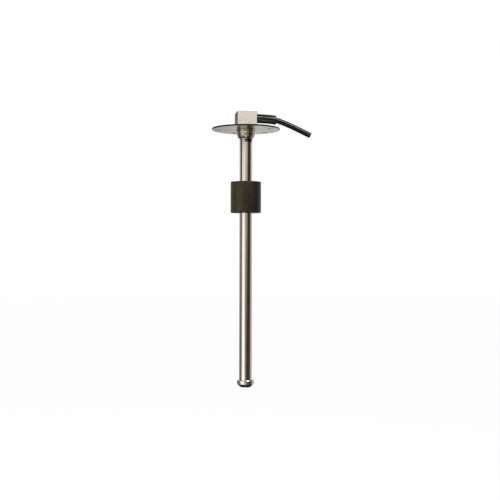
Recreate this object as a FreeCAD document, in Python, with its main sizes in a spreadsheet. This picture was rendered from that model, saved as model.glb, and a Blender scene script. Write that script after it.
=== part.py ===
"""Tank level sender: a steel tube under a five hole flange, with a float that slides on it.

Reed switches on a board inside the tube close one after another as the ring magnet in the
float passes them. The head cover on top of the flange holds the potted joint between the
board and the cable.

Frame: millimetres, +Z up along the tube, +X towards the cable. The origin is the centre of
the flange's underside, where it meets the tank.
"""
import FreeCAD, Part
import math
import os

import Sketcher

V = FreeCAD.Vector

# Driving dimensions
DIMENSIONS = [
    ("flange_dia", 68.0, "flange, outside"),
    ("flange_thick", 1.5, "flange sheet"),
    ("flange_edge", 0.3, "rounding of the flange's rim"),
    ("hole_inset", 7.0, "flange's rim to the middle of a screw hole"),
    ("bolt_hole_dia", 5.5, "clearance hole for an M5 screw"),
    ("bolt_count", 5, "screw holes, evenly spaced"),
    ("collar_wall", 2.95, "collar through the flange, round the tube"),
    ("collar_rim", 5.2, "straight part of the collar"),
    ("collar_length", 8.4, "collar, from the flange to its lower face"),
    ("collar_tip_wall", 0.35, "collar's lower face, round the tube"),
    ("collar_edge", 1.2, "rounding between the collar's side and its cone"),
    ("seat_gap", 0.05, "clearance of pieces that are welded or pressed together"),
    ("tube_dia", 12.7, "sensor tube, outside"),
    ("tube_wall", 0.9, "sensor tube's wall"),
    ("sensing_length", 250.0, "flange to the top of the end stop"),
    ("stop_wall", 2.2, "end stop, round the tube"),
    ("stop_rim", 3.5, "straight part of the end stop"),
    ("stop_height", 6.7, "end stop, whole"),
    ("stop_slope", 3.3, "how far the end stop narrows to its lower face"),
    ("stop_seat", 4.6, "depth of the tube's seat in the end stop"),
    ("stop_edge", 0.3, "rounding of the end stop"),
    ("float_dia", 30.4, "float, outside"),
    ("float_height", 31.0, "float"),
    ("float_gap", 0.7, "float's bore, loose on the tube"),
    ("float_depth", 51.8, "flange to the float's top, at rest"),
    ("float_edge", 0.6, "rounding of the float's edges"),
    ("magnet_dia", 24.0, "ring magnet, outside"),
    ("magnet_cover", 1.45, "foam between the float's bore and its magnet"),
    ("magnet_height", 6.0, "ring magnet"),
    ("magnet_gap", 0.1, "bond line round the magnet"),
    ("liner_gap", 0.1, "liner to the tube's wall"),
    ("liner_wall", 0.3, "insulating liner"),
    ("board_thick", 1.0, "circuit board"),
    ("board_gap", 0.05, "board's edges to the liner"),
    ("board_top", 6.0, "board's upper end above the flange's underside"),
    ("reed_count", 11, "reed switches, evenly spaced over the float's travel"),
    ("reed_dia", 1.8, "reed switch's glass"),
    ("reed_length", 10.0, "reed switch's glass"),
    ("reed_taper", 0.8, "reed switch's sealed ends"),
    ("reed_seal_dia", 1.0, "glass at the sealed ends"),
    ("lead_dia", 0.5, "reed switch's leads"),
    ("lead_reach", 2.5, "reed switch's leads beyond the glass"),
    ("solder_side", 0.9, "solder between a lead and its pad, square in plan"),
    ("chip_length", 3.2, "chip resistor"),
    ("chip_width", 1.6, "chip resistor"),
    ("chip_height", 0.55, "chip resistor"),
    ("chip_margin", 1.2, "resistors to the board's edge"),
    ("cap_length", 0.5, "resistor's end caps"),
    ("cap_skin", 0.05, "resistor's end caps, proud of its body"),
    ("cover_side", 20.0, "head cover, square in plan"),
    ("cover_height", 16.0, "head cover"),
    ("cover_wall", 0.8, "head cover's sheet"),
    ("cover_corner", 0.8, "head cover's upright edges"),
    ("cover_edge", 0.4, "head cover's upper edges"),
    ("exit_height", 11.9, "middle of the cable's hole above the flange's underside"),
    ("sleeve_dia", 9.1, "strain relief sleeve"),
    ("sleeve_gap", 0.1, "sleeve in its hole"),
    ("sleeve_inner", 1.6, "sleeve inside the cover, from the inner wall"),
    ("sleeve_outer", 20.5, "sleeve outside the cover, from the outer wall"),
    ("cable_dia", 5.5, "cable"),
    ("core_dia", 1.7, "insulated core"),
    ("core_offset", 1.0, "cores beside the cable's middle line"),
    ("core_gap", 0.1, "cores in the cable's sheath and beside the board"),
    ("core_end", 2.6, "cores' lower ends above the flange's underside"),
    ("core_drop", -2.5, "where the cores turn down to the board, along X"),
    ("wire_dia", 0.9, "copper wire in a core"),
    ("wire_gap", 0.05, "wire in its core"),
    ("wire_bare", 1.2, "bare wire below a core's lower end"),
    ("pot_gap", 0.05, "potting to what it surrounds"),
]

# Route of the cable's middle line in the XZ plane, chosen by hand, from inside the cover
CABLE_ROUTE = [
    (6.0, 12.05),
    (17.5, 11.6),
    (30.2, 10.95),
    (43.0, 6.2),
    (54.8, 0.9),
    (65.7, -4.15),
]
# An arc at a corner of a route takes this share of the shorter run beside it
ARC_SHARE = 0.45

doc = FreeCAD.newDocument("tank_level_sender")
dims = doc.addObject("Spreadsheet::Sheet", "dims")
for row, (alias, value, meaning) in enumerate(DIMENSIONS, start=1):
    dims.set(f"A{row}", alias)
    dims.set(f"B{row}", str(value))
    dims.set(f"C{row}", meaning)
    dims.setAlias(f"B{row}", alias)
doc.recompute()

# Sizes that follow from the driving ones
BOLT_CIRCLE = "(dims.flange_dia - 2 * dims.hole_inset)"
TUBE_SEAT = "(dims.tube_dia / 2 + dims.seat_gap)"
COLLAR = "(dims.tube_dia / 2 + dims.collar_wall)"
COLLAR_TIP = "(dims.tube_dia / 2 + dims.collar_tip_wall)"
STOP = "(dims.tube_dia / 2 + dims.stop_wall)"
FLOAT_BORE = "(dims.tube_dia / 2 + dims.float_gap)"
MAGNET_BORE = "(dims.tube_dia / 2 + dims.float_gap + dims.magnet_cover)"

parts = []


def size(expression):
    """The value of an expression on the sheet's aliases."""
    return float(dims.evalExpression(expression))


def new_body(label):
    body = doc.addObject("PartDesign::Body", label)
    body.Label = label
    parts.append(body)
    return body


def new_sketch(body, role, name):
    """A sketch on one of the body's own origin planes."""
    plane = next(f for f in body.Origin.OriginFeatures if f.Role == role)
    sketch = body.newObject("Sketcher::SketchObject", name)
    sketch.AttachmentSupport = (plane, [""])
    sketch.MapMode = "FlatFace"
    return sketch


def hold(sketch, geometry, point, across, up):
    """Holds a point at two distances from the sketch's origin, each an expression."""
    for kind, axis, expression in (("DistanceX", -2, across), ("DistanceY", -1, up)):
        if expression == "0":
            sketch.addConstraint(Sketcher.Constraint("PointOnObject", geometry, point, axis))
            continue
        distance = Sketcher.Constraint(kind, geometry, point, size(expression))
        index = sketch.addConstraint(distance)
        sketch.setExpression(f"Constraints[{index}]", expression)


def outline(sketch, corners):
    """A closed outline of straight lines through corners given as expressions."""
    places = [V(size(across), size(up), 0) for across, up in corners]
    first = sketch.GeometryCount
    for start, end in zip(places, places[1:] + places[:1]):
        sketch.addGeometry(Part.LineSegment(start, end), False)
    count = len(places)
    for i in range(count):
        joined = Sketcher.Constraint("Coincident", first + i, 2, first + (i + 1) % count, 1)
        sketch.addConstraint(joined)
    for i, (across, up) in enumerate(corners):
        hold(sketch, first + i, 1, across, up)


def rectangle(sketch, width, height, across="0", up="0"):
    """A rectangle of a width and height about a middle point."""
    left = f"({across}) - ({width}) / 2"
    right = f"({across}) + ({width}) / 2"
    low = f"({up}) - ({height}) / 2"
    high = f"({up}) + ({height}) / 2"
    outline(sketch, [(left, low), (right, low), (right, high), (left, high)])


def circle(sketch, diameter, across="0", up="0"):
    round_line = Part.Circle(V(size(across), size(up), 0), V(0, 0, 1), size(diameter) / 2)
    index = sketch.addGeometry(round_line, False)
    hold(sketch, index, 3, across, up)
    width = sketch.addConstraint(Sketcher.Constraint("Diameter", index, size(diameter)))
    sketch.setExpression(f"Constraints[{width}]", diameter)


def turn(body, sketch, name):
    """Turns a sketch right round its upright axis."""
    turned = body.newObject("PartDesign::Revolution", name)
    turned.Profile = sketch
    turned.ReferenceAxis = (sketch, ["V_Axis"])
    turned.Angle = 360
    doc.recompute()
    return turned


def pad(body, sketch, name, length, reverse=False, both_ways=False):
    padded = body.newObject("PartDesign::Pad", name)
    padded.Profile = sketch
    padded.setExpression("Length", length)
    padded.Reversed = reverse
    padded.Midplane = both_ways
    doc.recompute()
    return padded


def pocket(body, sketch, name, length=None, reverse=False):
    """Cuts a sketch out, to a depth or right through, and tests that it removed something."""
    before = body.Shape.Volume
    cut = body.newObject("PartDesign::Pocket", name)
    cut.Profile = sketch
    cut.Reversed = reverse
    if length is None:
        cut.Type = "ThroughAll"
    else:
        cut.setExpression("Length", length)
    doc.recompute()
    if body.Shape.Volume >= before:
        raise ValueError(f"{name} cuts nothing")
    return cut


def round_edges(body, name, radius, wanted):
    """Rounds the edges of the body's last feature that a test picks."""
    base = body.Tip
    names = [f"Edge{i}" for i, edge in enumerate(base.Shape.Edges, start=1) if wanted(edge)]
    if not names:
        raise ValueError(f"{name} finds no edge")
    rounded = body.newObject("PartDesign::Fillet", name)
    rounded.Base = (base, names)
    rounded.setExpression("Radius", radius)
    doc.recompute()
    return rounded


def is_circle(edge, diameter):
    """True for a whole or part circle of this diameter."""
    return isinstance(edge.Curve, Part.Circle) and math.isclose(2 * edge.Curve.Radius, diameter)


def is_upright(edge):
    if not isinstance(edge.Curve, Part.Line):
        return False
    return abs(edge.tangentAt(edge.FirstParameter).z) > 0.99


def turned_piece(label, corners):
    """A body turned from one outline."""
    body = new_body(label)
    sketch = new_sketch(body, "XZ_Plane", label + "_outline")
    outline(sketch, corners)
    turn(body, sketch, label + "_turned")
    return body


# Mounting flange: a thin disc with a hole for the collar and five screw holes
flange = new_body("mounting_flange")
disc = new_sketch(flange, "XY_Plane", "flange_disc")
circle(disc, "dims.flange_dia")
pad(flange, disc, "flange_plate", "dims.flange_thick")
collar_hole = new_sketch(flange, "XY_Plane", "flange_collar_hole")
circle(collar_hole, f"2 * ({COLLAR} + dims.seat_gap)")
pocket(flange, collar_hole, "flange_collar_pocket", reverse=True)
screw_hole = new_sketch(flange, "XY_Plane", "flange_screw_hole")
circle(screw_hole, "dims.bolt_hole_dia", across=f"-{BOLT_CIRCLE} / 2")
screw_pocket = pocket(flange, screw_hole, "flange_screw_pocket", reverse=True)
screw_pattern = flange.newObject("PartDesign::PolarPattern", "flange_screw_pattern")
screw_pattern.Originals = [screw_pocket]
screw_pattern.Axis = (screw_hole, ["N_Axis"])
screw_pattern.Angle = 360
screw_pattern.setExpression("Occurrences", "dims.bolt_count")
flange.Tip = screw_pattern
doc.recompute()
round_edges(flange, "flange_rim", "dims.flange_edge",
            lambda edge: is_circle(edge, size("dims.flange_dia")))

# Collar: a bush round the tube, flush with the flange's upper face, with a cone below
collar = turned_piece("tube_collar", [
    (TUBE_SEAT, "dims.flange_thick"),
    (COLLAR, "dims.flange_thick"),
    (COLLAR, "-dims.collar_rim"),
    (COLLAR_TIP, "-dims.collar_length"),
    (TUBE_SEAT, "-dims.collar_length"),
])
round_edges(collar, "tube_collar_edge", "dims.collar_edge",
            lambda edge: is_circle(edge, 2 * size(COLLAR)) and edge.CenterOfMass.z < 0)

# Sensor tube: from the flange's upper face to the seat in the end stop
turned_piece("sensor_tube", [
    ("dims.tube_dia / 2 - dims.tube_wall", "dims.flange_thick"),
    ("dims.tube_dia / 2", "dims.flange_thick"),
    ("dims.tube_dia / 2", "-dims.sensing_length - dims.stop_seat"),
    ("dims.tube_dia / 2 - dims.tube_wall", "-dims.sensing_length - dims.stop_seat"),
])

# End stop: closes the tube and keeps the float on it
SEAT_FLOOR = "-dims.sensing_length - dims.stop_seat"
STOP_FLOOR = "-dims.sensing_length - dims.stop_height"
stop = turned_piece("end_stop", [
    (TUBE_SEAT, "-dims.sensing_length"),
    (STOP, "-dims.sensing_length"),
    (STOP, "-dims.sensing_length - dims.stop_rim"),
    (f"{STOP} - dims.stop_slope", STOP_FLOOR),
    ("0", STOP_FLOOR),
    ("0", SEAT_FLOOR),
    (TUBE_SEAT, SEAT_FLOOR),
])
round_edges(stop, "end_stop_edge", "dims.stop_edge",
            lambda edge: is_circle(edge, 2 * size(STOP)))

# Float: a foamed rubber ring, moulded round its magnet
FLOAT_TOP = "-dims.float_depth"
FLOAT_BOTTOM = "-dims.float_depth - dims.float_height"
FLOAT_MIDDLE = "-dims.float_depth - dims.float_height / 2"
CAVITY_HALF = "(dims.magnet_height / 2 + dims.magnet_gap)"
float_body = new_body("float_body")
float_outline = new_sketch(float_body, "XZ_Plane", "float_outline")
outline(float_outline, [
    (FLOAT_BORE, FLOAT_TOP),
    ("dims.float_dia / 2", FLOAT_TOP),
    ("dims.float_dia / 2", FLOAT_BOTTOM),
    (FLOAT_BORE, FLOAT_BOTTOM),
])
outline(float_outline, [
    (f"{MAGNET_BORE} - dims.magnet_gap", f"{FLOAT_MIDDLE} + {CAVITY_HALF}"),
    ("dims.magnet_dia / 2 + dims.magnet_gap", f"{FLOAT_MIDDLE} + {CAVITY_HALF}"),
    ("dims.magnet_dia / 2 + dims.magnet_gap", f"{FLOAT_MIDDLE} - {CAVITY_HALF}"),
    (f"{MAGNET_BORE} - dims.magnet_gap", f"{FLOAT_MIDDLE} - {CAVITY_HALF}"),
])
turn(float_body, float_outline, "float_turned")
round_edges(float_body, "float_rounding", "dims.float_edge",
            lambda edge: is_circle(edge, size("dims.float_dia")))

turned_piece("float_magnet", [
    (MAGNET_BORE, f"{FLOAT_MIDDLE} + dims.magnet_height / 2"),
    ("dims.magnet_dia / 2", f"{FLOAT_MIDDLE} + dims.magnet_height / 2"),
    ("dims.magnet_dia / 2", f"{FLOAT_MIDDLE} - dims.magnet_height / 2"),
    (MAGNET_BORE, f"{FLOAT_MIDDLE} - dims.magnet_height / 2"),
])

# Liner: keeps the board off the steel tube
LINER_OUTER = "dims.tube_dia / 2 - dims.tube_wall - dims.liner_gap"
LINER_INNER = f"({LINER_OUTER} - dims.liner_wall)"
turned_piece("board_liner", [
    (LINER_INNER, "0"),
    (LINER_OUTER, "0"),
    (LINER_OUTER, SEAT_FLOOR),
    (LINER_INNER, SEAT_FLOOR),
])

# Board: a strip whose edges rest in the liner, from the end stop up into the head cover
BOARD_WIDTH = f"2 * (sqrt({LINER_INNER}^2 - dims.board_thick^2 / 4) - dims.board_gap)"
BOARD_LENGTH = "dims.board_top + dims.sensing_length + dims.stop_seat"
BOARD_MIDDLE = "(dims.board_top - dims.sensing_length - dims.stop_seat) / 2"
board = new_body("reed_board")
board_face = new_sketch(board, "XZ_Plane", "board_face")
rectangle(board_face, BOARD_WIDTH, BOARD_LENGTH, up=BOARD_MIDDLE)
pad(board, board_face, "board_strip", "dims.board_thick", both_ways=True)

# Reed switches: evenly spaced, so that the magnet meets the first and last at the float's stops
TRAVEL = "(dims.sensing_length - dims.collar_length - dims.float_height)"
TRAVEL_MIDDLE = "(dims.sensing_length + dims.collar_length) / 2"
REED_STEP = f"({TRAVEL} / (dims.reed_count - 1))"
reed_count = int(size("dims.reed_count"))
BOARD_FRONT = "-dims.board_thick / 2"
LEAD_TIP = "(dims.reed_length / 2 + dims.lead_reach)"


def reed_height(steps):
    """Height of a place this many steps above the middle of the row, as an expression."""
    return f"-{TRAVEL_MIDDLE} + ({steps}) * {REED_STEP}"


def reed_switch(label, steps):
    """A glass capsule on the board's front, with two leads that are soldered to its pads."""
    reed = new_body(label)
    profile = new_sketch(reed, "XZ_Plane", label + "_outline")
    upper = [
        ("0", LEAD_TIP),
        ("dims.lead_dia / 2", LEAD_TIP),
        ("dims.lead_dia / 2", "dims.reed_length / 2"),
        ("dims.reed_seal_dia / 2", "dims.reed_length / 2"),
        ("dims.reed_dia / 2", "dims.reed_length / 2 - dims.reed_taper"),
    ]
    lower = [(across, f"-({up})") for across, up in reversed(upper)]
    outline(profile, upper + lower)
    turn(reed, profile, label + "_glass")
    joints = new_sketch(reed, "XZ_Plane", label + "_joint_faces")
    for side in ("", "-"):
        rectangle(joints, "dims.solder_side", "dims.solder_side", up=f"{side}({LEAD_TIP})")
    pad(reed, joints, label + "_solder", "dims.reed_dia / 2", reverse=True)
    reed.setExpression("Placement.Base.y", f"{BOARD_FRONT} - dims.reed_dia / 2")
    reed.setExpression("Placement.Base.z", reed_height(steps))


def chip_resistor(label, steps):
    """A ceramic chip beside the reed switches, with a metal cap at each end."""
    chip = new_body(label)
    ceramic = new_sketch(chip, "XZ_Plane", label + "_face")
    rectangle(ceramic, "dims.chip_width", "dims.chip_length - dims.cap_length")
    pad(chip, ceramic, label + "_ceramic", "dims.chip_height")
    caps = new_sketch(chip, "XZ_Plane", label + "_cap_faces")
    for side in ("", "-"):
        rectangle(caps, "dims.chip_width + 2 * dims.cap_skin", "dims.cap_length",
                  up=f"{side}(dims.chip_length - dims.cap_length) / 2")
    pad(chip, caps, label + "_caps", "dims.chip_height + dims.cap_skin")
    chip.setExpression("Placement.Base.x",
                       f"({BOARD_WIDTH} - dims.chip_width) / 2 - dims.chip_margin")
    chip.setExpression("Placement.Base.y", BOARD_FRONT)
    chip.setExpression("Placement.Base.z", reed_height(steps))


for number in range(reed_count):
    reed_switch(f"reed_switch_{number + 1:02d}", (reed_count - 1) / 2 - number)
for number in range(reed_count - 1):
    chip_resistor(f"resistor_{number + 1:02d}", (reed_count - 2) / 2 - number)

# Head cover: a drawn steel box, open below, with the cable's hole in its +X wall
cover = new_body("head_cover")
cover.setExpression("Placement.Base.z", "dims.flange_thick")
cover_plan = new_sketch(cover, "XY_Plane", "cover_plan")
rectangle(cover_plan, "dims.cover_side", "dims.cover_side")
pad(cover, cover_plan, "cover_block", "dims.cover_height")
round_edges(cover, "cover_corners", "dims.cover_corner", is_upright)
round_edges(cover, "cover_top_edge", "dims.cover_edge",
            lambda edge: edge.BoundBox.ZMin > size("dims.cover_height") - 0.01)
INNER_SIDE = "(dims.cover_side - 2 * dims.cover_wall)"
cavity = new_sketch(cover, "XY_Plane", "cover_cavity")
rectangle(cavity, INNER_SIDE, INNER_SIDE)
pocket(cover, cavity, "cover_inside", "dims.cover_height - dims.cover_wall", reverse=True)
cable_hole = new_sketch(cover, "YZ_Plane", "cover_cable_hole")
circle(cable_hole, "dims.sleeve_dia + 2 * dims.sleeve_gap",
       up="dims.exit_height - dims.flange_thick")
pocket(cover, cable_hole, "cover_cable_opening", reverse=True)


def rounded_route(points):
    """Edges of straight runs that are joined by tangent arcs."""
    edges = []
    radii = []
    start = points[0]
    for before, corner, after in zip(points, points[1:], points[2:]):
        back = before - corner
        ahead = after - corner
        half_turn = (math.pi - back.getAngle(ahead)) / 2
        reach = ARC_SHARE * min(back.Length, ahead.Length)
        radius = reach / math.tan(half_turn)
        back.normalize()
        ahead.normalize()
        inward = back + ahead
        inward.normalize()
        entry = corner + back * reach
        leave = corner + ahead * reach
        middle = corner + inward * (radius / math.cos(half_turn) - radius)
        edges.append(Part.LineSegment(start, entry).toShape())
        edges.append(Part.Arc(entry, middle, leave).toShape())
        radii.append(radius)
        start = leave
    edges.append(Part.LineSegment(start, points[-1]).toShape())
    return edges, radii


def rod(edges, diameter):
    """A round bar along a route."""
    first = edges[0]
    start = first.valueAt(first.FirstParameter)
    along = first.tangentAt(first.FirstParameter)
    section = Part.Wire(Part.Circle(start, along, diameter / 2).toShape())
    return Part.Wire(edges).makePipeShell([section], True, True)


def slab(from_x, to_x):
    """All space between two values of X near the part."""
    span = 4 * size("dims.cover_side")
    return Part.makeBox(to_x - from_x, span, span, V(from_x, -span / 2, -span / 2))


def shaped(label, shape):
    """A sub-part whose shape is worked out here from the sheet's sizes."""
    feature = doc.addObject("Part::Feature", label)
    feature.Label = label
    feature.Shape = shape
    feature.Placement = FreeCAD.Placement()
    parts.append(feature)


# Cable: a sheath with two wired cores, which part in the cover and run down the board's faces
route = [V(x, 0, z) for x, z in CABLE_ROUTE]
cable_edges, cable_radii = rounded_route(route)
core_fit = size("dims.core_dia + 2 * dims.core_gap")
sheath = rod(cable_edges, size("dims.cable_dia"))
print("cable radii", [round(radius, 1) for radius in cable_radii])
print("cable length", round(sum(edge.Length for edge in cable_edges), 2))
print("cable volume by its length and its section",
      round(sum(edge.Length for edge in cable_edges) * math.pi / 4 * size("dims.cable_dia") ** 2, 1),
      "and as a solid", round(sheath.Volume, 1))
core_routes = []
wire_routes = []
for side in (1, -1):
    aside = V(0, side * size("dims.core_offset"), 0)
    bore_edges, _ = rounded_route([point + aside for point in route])
    sheath = sheath.cut(rod(bore_edges, core_fit))
    on_board = side * size("dims.board_thick / 2 + dims.core_dia / 2 + dims.core_gap")
    drop = size("dims.core_drop")
    lowest = V(drop, on_board, size("dims.core_end"))
    turning = V(drop, on_board, route[0].z)
    core_edges, core_radii = rounded_route([lowest, turning] + [p + aside for p in route])
    core_routes.append(core_edges)
    print("core radii", [round(radius, 1) for radius in core_radii])
    wire_edges, _ = rounded_route([lowest - V(0, 0, size("dims.wire_bare")), turning]
                                  + [p + aside for p in route])
    wire_routes.append(wire_edges)
shaped("cable_sheath", sheath)
wire_fit = size("dims.wire_dia + 2 * dims.wire_gap")
for place, core_edges, wire_edges in zip(("back", "front"), core_routes, wire_routes):
    core = rod(core_edges, size("dims.core_dia"))
    shaped("cable_core_" + place, core.cut(rod(wire_edges, wire_fit)))
    shaped("core_wire_" + place, rod(wire_edges, size("dims.wire_dia")))

# Strain relief: a thick sleeve shrunk on the cable, from inside the cover to the first bend
sleeve_start = size("dims.cover_side / 2 - dims.cover_wall - dims.sleeve_inner")
sleeve_end = size("dims.cover_side / 2 + dims.sleeve_outer")
sleeve = rod(cable_edges, size("dims.sleeve_dia")).common(slab(sleeve_start, sleeve_end))
sleeve = sleeve.cut(rod(cable_edges, size("dims.cable_dia + 2 * dims.seat_gap")))
shaped("strain_relief_sleeve", sleeve)

# Potting: fills the cover round the board's end, the cores, the cable and its sleeve
pot_gap = size("dims.pot_gap")
pot_side = size(INNER_SIDE) - 2 * pot_gap
pot_floor = size("dims.flange_thick")
pot_height = size("dims.cover_height - dims.cover_wall")
potting = Part.makeBox(pot_side, pot_side, pot_height, V(-pot_side / 2, -pot_side / 2, pot_floor))
room = [rod(cable_edges, size("dims.cable_dia") + 2 * pot_gap)]
room += [rod(core_edges, size("dims.core_dia") + 2 * pot_gap) for core_edges in core_routes]
room += [rod(wire_edges, size("dims.wire_dia") + 2 * pot_gap) for wire_edges in wire_routes]
sleeve_room = rod(cable_edges, size("dims.sleeve_dia") + 2 * pot_gap)
room.append(sleeve_room.common(slab(sleeve_start - pot_gap, sleeve_end)))
board_side = size(BOARD_WIDTH) + 2 * pot_gap
board_room_thick = size("dims.board_thick") + 2 * pot_gap
room.append(Part.makeBox(board_side, board_room_thick, size("dims.board_top") + pot_gap,
                         V(-board_side / 2, -board_room_thick / 2, 0)))
for space in room:
    potting = potting.cut(space)
shaped("potting", potting)

# Tests on every object, then one file for each sub-part
doc.recompute()
for item in doc.Objects:
    if "Invalid" in item.State or "Error" in item.State:
        raise ValueError(f"{item.Label} failed: {item.State}")
for item in parts:
    if item.Shape.isNull() or not item.Shape.isValid() or not item.Shape.Solids:
        raise ValueError(f"{item.Label} has no sound solid")
os.makedirs("parts", exist_ok=True)
for item in parts:
    item.Shape.exportStep(f"parts/{item.Label}.step")
    print(item.Label, "solids", len(item.Shape.Solids), "volume", round(item.Shape.Volume, 1))
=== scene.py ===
"""Looks of a tank level sender: finishes, weld beads, the cable with its cut end, and a studio.

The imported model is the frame. Metres, +Z up along the tube, +X towards the cable, and the
origin is the centre of the flange's underside.
"""

import math

import bmesh
import bpy
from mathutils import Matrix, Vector


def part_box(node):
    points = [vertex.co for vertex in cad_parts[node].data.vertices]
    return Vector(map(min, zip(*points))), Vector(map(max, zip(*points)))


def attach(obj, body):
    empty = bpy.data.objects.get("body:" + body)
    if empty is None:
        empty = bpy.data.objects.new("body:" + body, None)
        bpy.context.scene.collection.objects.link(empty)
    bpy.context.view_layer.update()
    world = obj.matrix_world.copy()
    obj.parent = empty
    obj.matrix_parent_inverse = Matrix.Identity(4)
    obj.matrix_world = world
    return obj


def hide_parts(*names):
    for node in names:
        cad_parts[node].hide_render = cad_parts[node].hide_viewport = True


bl_info = {
    "name": "Tank level sender",
    "version": (1, 0, 0),
    "blender": (4, 5, 0),
    "location": "3D View > Sidebar > Level sender",
    "description": "Dresses a packed tank level sender and lights it in a plain studio",
    "category": "Object",
}

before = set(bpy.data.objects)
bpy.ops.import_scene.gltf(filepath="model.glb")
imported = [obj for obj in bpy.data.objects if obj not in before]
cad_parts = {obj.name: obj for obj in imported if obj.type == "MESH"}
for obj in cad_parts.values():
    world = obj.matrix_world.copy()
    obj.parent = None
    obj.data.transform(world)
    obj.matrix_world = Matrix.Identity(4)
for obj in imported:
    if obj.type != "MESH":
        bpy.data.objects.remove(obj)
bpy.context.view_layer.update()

MM = 0.001
# Route of the cable's middle line in the XZ plane, millimetres, from inside the cover
CABLE_ROUTE = [
    (6.0, 12.05),
    (17.5, 11.6),
    (30.2, 10.95),
    (43.0, 6.2),
    (54.8, 0.9),
    (65.7, -4.15),
]
# The photograph's view: the camera's distance from the tube's axis, its turn round it in degrees,
# its height, its step to the right, its roll in degrees and its lens
CAMERA_DISTANCE = 0.874
CAMERA_AZIMUTH = -8.0
CAMERA_HEIGHT = -0.1199
CAMERA_ASIDE = 0.0043
CAMERA_ROLL = 0.1
CAMERA_LENS = 62.9
# The studio: how far the cards and the lamps stand off, where the lamps aim, and the floor
CARD_RADIUS = 1.2
LAMP_DISTANCE = 1.1
LAMP_AIM = Vector((0, 0, -0.1))
FLOOR_HEIGHT = -0.6
FLOOR_REACH = 8.0
# The share of the floor's own colour that the camera doesn't see, and the glow that it sees instead
FLOOR_DULLED = 0.85
FLOOR_GLOW = 0.908
# Patches in each direction of a card, and the power by which its glow fades up from foot to top
CARD_STEPS = 24
CARD_FADE = 2.0
# Patches in a quarter turn of what is rounded
BEAD_STEPS = 6
BOWL_STEPS = 16
COVER_CORNER_STEPS = 8
SLEEVE_EDGE_STEPS = 5
# Patches round the tube's axis, and round the cable's line
COLLAR_STEPS = 192
WELD_STEPS = 288
SLEEVE_STEPS = 72
CORE_STEPS = 40
STRAND_STEPS = 14
# Rings along the straight skin of the sleeve
SLEEVE_RINGS = 60


def even(level):
    """The same grey glow at both ends of a card's edge."""
    return ((level, level, level), (level, level, level))


# Cards round the studio that only show as reflections: name, degrees of turn from the camera,
# degrees of rise, and the glow at both ends of the foot and of the top
CARDS = [
    ("card_left", (-178, -105), (-42, 6.8), ((0.16, 0.16, 0.15), (0.12, 0.12, 0.11)),
     ((0.98, 0.92, 0.92), (0.60, 0.55, 0.53))),
    ("card_gap", (-105, -72), (-42, 6.8), ((0.14, 0.14, 0.13), (0.40, 0.40, 0.38)),
     ((0.01, 0.006, 0.005), (0.01, 0.006, 0.005))),
    ("card_window", (-72, -20), (-24, 6.8), ((1.30, 1.25, 1.18), (1.95, 1.90, 1.75)),
     ((1.05, 1.00, 0.96), (1.1, 1.1, 1.05))),
    ("card_window_low", (-72, -18), (-42, -24), even(0.5), even(0.7)),
    ("card_shade", (-20, 14), (-24, 7.2), ((0.52, 0.48, 0.40), (0.10, 0.085, 0.065)),
     ((0.95, 0.95, 0.86), (0.85, 0.82, 0.70))),
    ("card_streak", (-18, 9), (-84, -24), even(1.5), even(1.5)),
    ("card_dusk", (14, 42), (-24, 7.2), ((0.10, 0.085, 0.065), (0.02, 0.015, 0.01)),
     ((0.85, 0.82, 0.70), (0.10, 0.075, 0.05))),
    ("card_dusk_low", (9, 42), (-42, -24), even(0.9), even(0.5)),
    ("card_brown", (42, 84), (-42, 8.4), ((0.04, 0.03, 0.02), (0.14, 0.12, 0.10)),
     ((0.04, 0.025, 0.015), (0.03, 0.02, 0.012))),
    ("card_brown_edge", (84, 112), (-42, 8.4), ((0.14, 0.12, 0.10), (0.85, 0.80, 0.76)),
     ((0.05, 0.03, 0.02), (0.65, 0.57, 0.55))),
    ("card_back", (112, 182), (-42, 6.8), ((0.85, 0.80, 0.76), (0.40, 0.40, 0.37)),
     ((0.75, 0.68, 0.66), (0.95, 0.95, 0.87))),
    ("card_dark_left", (-200, -14), (6.8, 34), ((0.15, 0.14, 0.13), (0.004, 0.004, 0.004)),
     ((0.15, 0.14, 0.13), (0.02, 0.02, 0.02))),
    ("card_dark_middle", (-14, 42), (7.2, 8.9), ((0.25, 0.25, 0.20), (0.06, 0.06, 0.04)),
     ((0.15, 0.15, 0.12), (0.06, 0.06, 0.04))),
    ("card_front", (-14, 75), (8.9, 22), ((1.02, 0.96, 0.89), (1.26, 1.20, 1.15)),
     ((1.02, 0.96, 0.89), (1.26, 1.20, 1.15))),
    ("card_side", (75, 160), (8.9, 22), even(0.05), even(0.05)),
    ("card_visor", (-14, 160), (22, 34), even(0.02), even(0.02)),
    ("card_strip", (-110, 26), (34, 45), even(8.0), even(8.0)),
    ("card_strip_bright", (26, 75), (34, 45), even(36.0), even(36.0)),
    ("card_canopy", (-180, 180), (45, 89), even(0.25), even(0.60)),
    ("card_under_left", (-180, -18), (-88, -42), even(0.02), even(0.04)),
    ("card_under_right", (9, 180), (-88, -42), even(0.02), even(0.04)),
]


def low(node):
    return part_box(node)[0]


def high(node):
    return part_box(node)[1]


def rgb(red, green, blue):
    return (red, green, blue, 1.0)


# Shader expressions


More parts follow.
